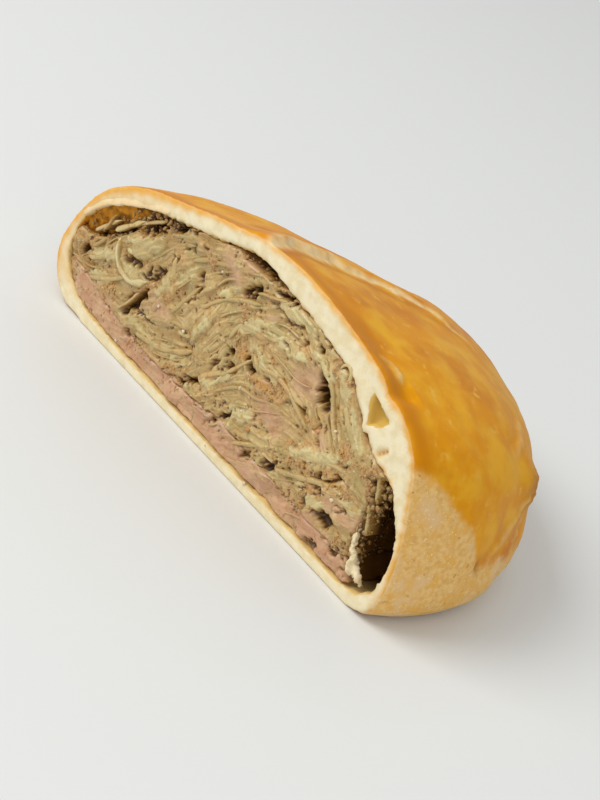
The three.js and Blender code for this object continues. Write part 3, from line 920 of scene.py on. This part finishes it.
cabbage = lay_strips("cabbage_leaves", leaves)
print("leaf triangles", triangles_in(cabbage))

# %% [markdown]
# ## Dough case: torn pieces
# At the thin end a lip of torn dough runs along the cut, with the case's amber inner wall
# under it, and a flake stands in the hollow at the thick end. They could be pulled out of the
# case's own mesh, but that would stretch it, so they are strips laid as the leaves are. A
# voxel remesh then makes the flake and the wall one piece each, to be roughened.

# %% Case: torn pieces


def crumble(made, voxel, height, size, seed):
    """Makes strips one torn piece and roughens it. Gives its points from before that."""
    apply_modifier(made, "REMESH", mode="VOXEL", voxel_size=voxel * MM, use_smooth_shade=True)
    even = points_of(made)
    move_points(made, even + normals_of(made) * (height * rough(even, size, seed, 3))[:, None])
    return even


LIP = [(-52.4, 19.6), (-49.6, 23.0), (-45.2, 26.6), (-39.6, 29.8), (-32.8, 32.6), (-25.6, 35.2)]
lip = lay_strips("dough_lip", [(spread_evenly(LIP), 1.8, 0.1, 0.5)])
paint(lip, "cut", 1)
paint(lip, "baked_edge", 0.3)
FLAKE = [
    ([(45.6, 13.4), (46.2, 10.0), (46.8, 7.4), (47.2, 4.6)], 1.1, 0.1, 0.5),
    ([(46.6, 10.0), (47.4, 7.6), (48.4, 4.6)], 1.5, 0.0, 0.5),
    ([(47.6, 7.6), (48.8, 6.0), (50.4, 4.4)], 1.5, -0.2, 0.5),
]
flake = lay_strips("dough_flake", [(spread_evenly(corners), *rest) for corners, *rest in FLAKE], 1.0)
crumble(flake, 0.25, 0.45, 1.1, seed=43)
paint(flake, "cut", 1)
paint(flake, "baked_edge", 0.15)
INNER_WALL = [(-52.0, 17.4), (-48.4, 20.6), (-44.0, 23.6), (-39.0, 26.8), (-33.6, 29.8)]
inner_wall = lay_strips("dough_inner_wall", [(spread_evenly(INNER_WALL), 6.0, -1.5, 0.5)])
wall_points = crumble(inner_wall, 0.45, 0.5, 1.8, seed=42)
paint(inner_wall, "inside", 1)
paint(inner_wall, "amber", 1)
# Painted shade: soft dark patches on the amber inner wall.
paint(inner_wall, "painted_recess_shade", np.clip(0.3 + 1.2 * rough(wall_points, 2.2, seed=41, depth=3), 0, 0.75))
bpy.data.objects.remove(blank)
print("torn dough triangles", [triangles_in(piece) for piece in (lip, flake, inner_wall)])

# %% [markdown]
# ## Filling: crumbs of mince
# Cooked mince breaks to grains, and torn scraps of food hang in the hollows. They could be
# modelled one by one, but there are over a thousand, so one lumpy grain is modelled and
# copied, each copy turned, squashed and sized by chance. A few are bits of carrot and fat.

# %% Crumbs: one grain, many copies
bpy.ops.object.select_all(action="DESELECT")
bpy.ops.mesh.primitive_uv_sphere_add(segments=7, ring_count=5, radius=1)
grain_blank = bpy.context.object
bpy.ops.object.mode_set(mode="EDIT")
bpy.ops.mesh.select_all(action="SELECT")
bpy.ops.mesh.quads_convert_to_tris()
bpy.ops.object.mode_set(mode="OBJECT")
grain_points = np.array([tuple(v.co) for v in grain_blank.data.vertices])
grain_faces = np.array([tuple(p.vertices) for p in grain_blank.data.polygons])
bpy.data.objects.remove(grain_blank)


def scatter(name, spots, sizes, squash, shade=0.0, long=1.0):
    """Copies of the grain at places in millimetres, in one mesh."""
    rows, faces, tones, across = [], [], [], []
    for number, spot in enumerate(spots):
        size = random.uniform(*sizes)
        stretch = [size * long, size * random.uniform(squash, 1), size * random.uniform(squash, 1)]
        turn = np.array(Euler([random.uniform(0, 6.3) for _ in range(3)]).to_matrix())
        lump = grain_points * (1 + 0.6 * rough(grain_points, 0.6, seed=random.random() * 50))[:, None]
        faces.append(grain_faces + number * len(grain_points))
        rows.append((lump * stretch) @ turn.T + spot)
        tones.append(np.full(len(grain_points), 0.9 * random.random()))
        across.append(np.zeros(len(grain_points)))
    made = joined(name, rows, faces, tones, across, shade)
    minced = np.random.default_rng(len(rows)).uniform(0, 1, len(rows))
    paint(made, "mince", np.repeat(minced, len(grain_points)))
    return made


CRUMB_COUNT = 700
on_mince = []
while len(on_mince) < CRUMB_COUNT:
    x, z = random.uniform(-55, 56), random.uniform(1.5, 41)
    if is_food(x, z) and float(on_map(mince_map, x, z)) > random.uniform(0.1, 2.5):
        depth = random.uniform(0, 0.2) + 0.9 * float(on_map(relief_map, x, z))
        on_mince.append([x, FACE_Y + depth, z])
mince = scatter("mince_crumbs", on_mince, (0.1, 0.28), 0.6)
print("crumb triangles", triangles_in(mince))

# %% Crumbs: torn bits in the hollows
wall = solids["pastry_case"]
TORN_COUNT = 700
torn = []
body = points_of(paste)
for number in np.random.default_rng(9).permutation(len(body)):
    spot = body[number]
    in_hollow = FACE_Y + 0.5 < spot[1] < FACE_Y + 9 and wall.find_nearest(spot)[3] > 1.3
    if len(torn) < TORN_COUNT and in_hollow and not reaches_cut("cabbage_filling", spot[0], spot[2], 1.2):
        torn.append(spot)
# Clumps that hang in the hollows at the ends: across, up, radius across and up, count.
CLUMPS = [
    (46.8, 22, 3.0, 3.6, 90), (46.2, 15.5, 1.8, 4, 70), (46, 8, 1.6, 4, 50), (-46, 20, 4, 1.2, 22),
    (-39.5, 24.2, 4, 1.4, 28), (-33.5, 28.4, 4, 1.8, 40), (-27, 32, 4, 1.6, 40),
]
for x, z, wide, tall, count in CLUMPS:
    for _ in range(count):
        turn, out = random.uniform(0, 6.3), math.sqrt(random.random())
        back = random.uniform(0.4, 3.5)
        torn.append([x + wide * out * math.cos(turn), FACE_Y + back, z + tall * out * math.sin(turn)])
# The scraps hang in the hollows, so they are given some painted shade.
scraps = scatter("torn_scraps", torn, (0.22, 0.6), 0.4, shade=0.28, long=1.3)
print("scraps", len(torn), "triangles", triangles_in(scraps))

# %% Crumbs: carrot and fat
# Across, up, and how far behind the cut.
CARROT = [(-6, 28, 0.15), (13, 11.5, 0.15), (29.2, 22.4, 0.25), (24.6, 16.2, 0.25)]
FAT = [(-12, 17), (-21, 17), (-7, 33), (7.5, 17), (4, 1.6), (17, 2.2), (-30, 3.4), (-10, 3.0),
       (33, 25), (10, 13.6), (38, 14)]
carrot = scatter("carrot_bits", [(x, FACE_Y + back, z) for x, z, back in CARROT], (0.4, 0.7), 0.5)
fat = scatter("fat_flecks", [(x, FACE_Y + 0.05, z) for x, z in FAT], (0.25, 0.5), 0.5)

# %% [markdown]
# ## Filling: finishes
# Boiled cabbage is wet and lets light through its thin leaves, so it has a low roughness and
# some light under its skin. Its fibres and grains of 0.3 mm show as fine relief, and patches
# of 0.8 to 6 mm are stalk, leaf and gravy. Braised meat is the same, but rosy and less leafy.
# Carrot and fat are small wet bits, one a muted orange and one a waxy white. Each leaf could
# have its own finish, but one that reads the painted values keeps them all alike.

# %% Filling: finishes


def plain_finish(name, colour, patch_colour):
    """A moist mottled finish for small bits."""
    material, tree, shader, place = new_finish(name)
    colour = mottled(tree, place, colour, (0.7, 0.35, 0.65, patch_colour))
    fill(tree, shader, Base_Color=colour, Roughness=0.35)
    return material


def layered_finish(name, pinkness, palest, darkest):
    """Pressed leaves and mince: leaves by their tone, mince in grains, painted brown shade in crevices."""
    material, tree, shader, place = new_finish(name)
    leaf = tinted(tree, darkest, ("tone", palest))
    leaf = mottled(tree, place, leaf, (6, 0.44, 0.62, "#AE985E"), (4.3, 0.54, 0.7, "#C9A062"),
                   (1.2, 0.56, 0.72, "#A87E3C"), (0.8, 0.62, 0.74, "#DCCB98"))
    minced = mottled(tree, place, "#9E7540", (0.5, 0.35, 0.65, "#C29A62"), (3.1, 0.5, 0.66, "#BE8C48"))
    cream = tinted(tree, "#B09C66", ("tone", "#D4C690"))
    cream = mottled(tree, place, cream, (1.4, 0.5, 0.7, "#C3A45E"))
    colour = tinted(tree, leaf, ("pale", cream), ("mince", minced))
    rose = mottled(tree, place, "#BC8C6A", (2.5, 0.3, 0.7, "#CBA47C"), (1.0, 0.56, 0.72, "#B98350"))
    # Painted shade: brown in crevices, and darker brown in gaps, pits and wherever the food lies further
    # behind the cut.
    brown = tinted(tree, "#8C6026", ("painted_hollow_shade", "#42280C"))
    colour = tinted(tree, colour, ("pink", rose, 0.8, pinkness), ("crevice", "#94682A", 0.6, 0.0),
                    ("painted_hollow_shade", brown, 1.8, 0.0))
    relief = add(tree, "TexNoise", Vector=place, Scale=1 / (0.3 * MM), Detail=4.0)
    relief = add(tree, "Bump", Height=relief, Distance=0.06 * MM, Strength=0.5)
    fill(tree, shader, Base_Color=colour, Roughness=0.34, Normal=relief, Subsurface_Weight=0.2,
         Subsurface_Radius=(1.0, 0.7, 0.4), Subsurface_Scale=0.6 * MM)
    return material


paste.data.materials.append(layered_finish("cabbage_and_mince", 0.0, "#D0B57A", "#A28248"))
meat.data.materials.append(layered_finish("cooked_meat", 0.7, "#CBAE90", "#B09070"))
for piece in (cabbage, mince, scraps):
    piece.data.materials.append(paste.data.materials[0])
carrot.data.materials.append(plain_finish("stewed_carrot", "#C48A48", "#B27C42"))
fat.data.materials.append(plain_finish("cooked_fat", "#E2D6C0", "#D2BFA2"))
for piece in (cabbage, paste, mince, scraps, carrot, fat):
    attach(piece, "root")
for piece in (lip, flake, inner_wall):
    piece.data.materials.append(case_finish)
    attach(piece, "root")
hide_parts("cabbage_filling")
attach(meat, "root")
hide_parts("meat_layer")

# %% [markdown]
# ## Floor and light
# A pale floor runs on past the edges of the picture. The light is soft and high: a wide
# lamp from the upper left in front, a weaker one from the right, and a bright even sky.

# %% Floor
# Honed pale stone: matt enough to mirror nothing, and it throws soft light back at the base.
bpy.ops.mesh.primitive_plane_add(size=6, location=(0, 0, -0.05 * MM))
floor = bpy.context.object
floor.name = "floor"
floor_finish, tree, shader, _ = new_finish("pale_table")
fill(tree, shader, Base_Color="#DFE0DD", Roughness=0.5)
floor.data.materials.append(floor_finish)

# %% Light


def soft_lamp(name, place, power):
    """A square lamp that points at the middle of the pasty, in metres and watts."""
    data = bpy.data.lights.new(name, "AREA")
    data.size = 0.6
    data.energy = power
    lamp = bpy.data.objects.new(name, data)
    bpy.context.collection.objects.link(lamp)
    lamp.location = place
    lamp.rotation_euler = (Vector((0, 0, 0.02)) - Vector(place)).to_track_quat("-Z", "Y").to_euler()


soft_lamp("window", (-0.45, -0.55, 0.75), 6.5)
soft_lamp("fill", (0.7, -0.5, 0.5), 1.6)
world = bpy.data.worlds.new("sky")
world.use_nodes = True
sky = world.node_tree.nodes["Background"].inputs
sky["Color"].default_value = linear("#FAFBFC")
sky["Strength"].default_value = 0.62
bpy.context.scene.world = world
bpy.context.scene.view_settings.view_transform = "Standard"
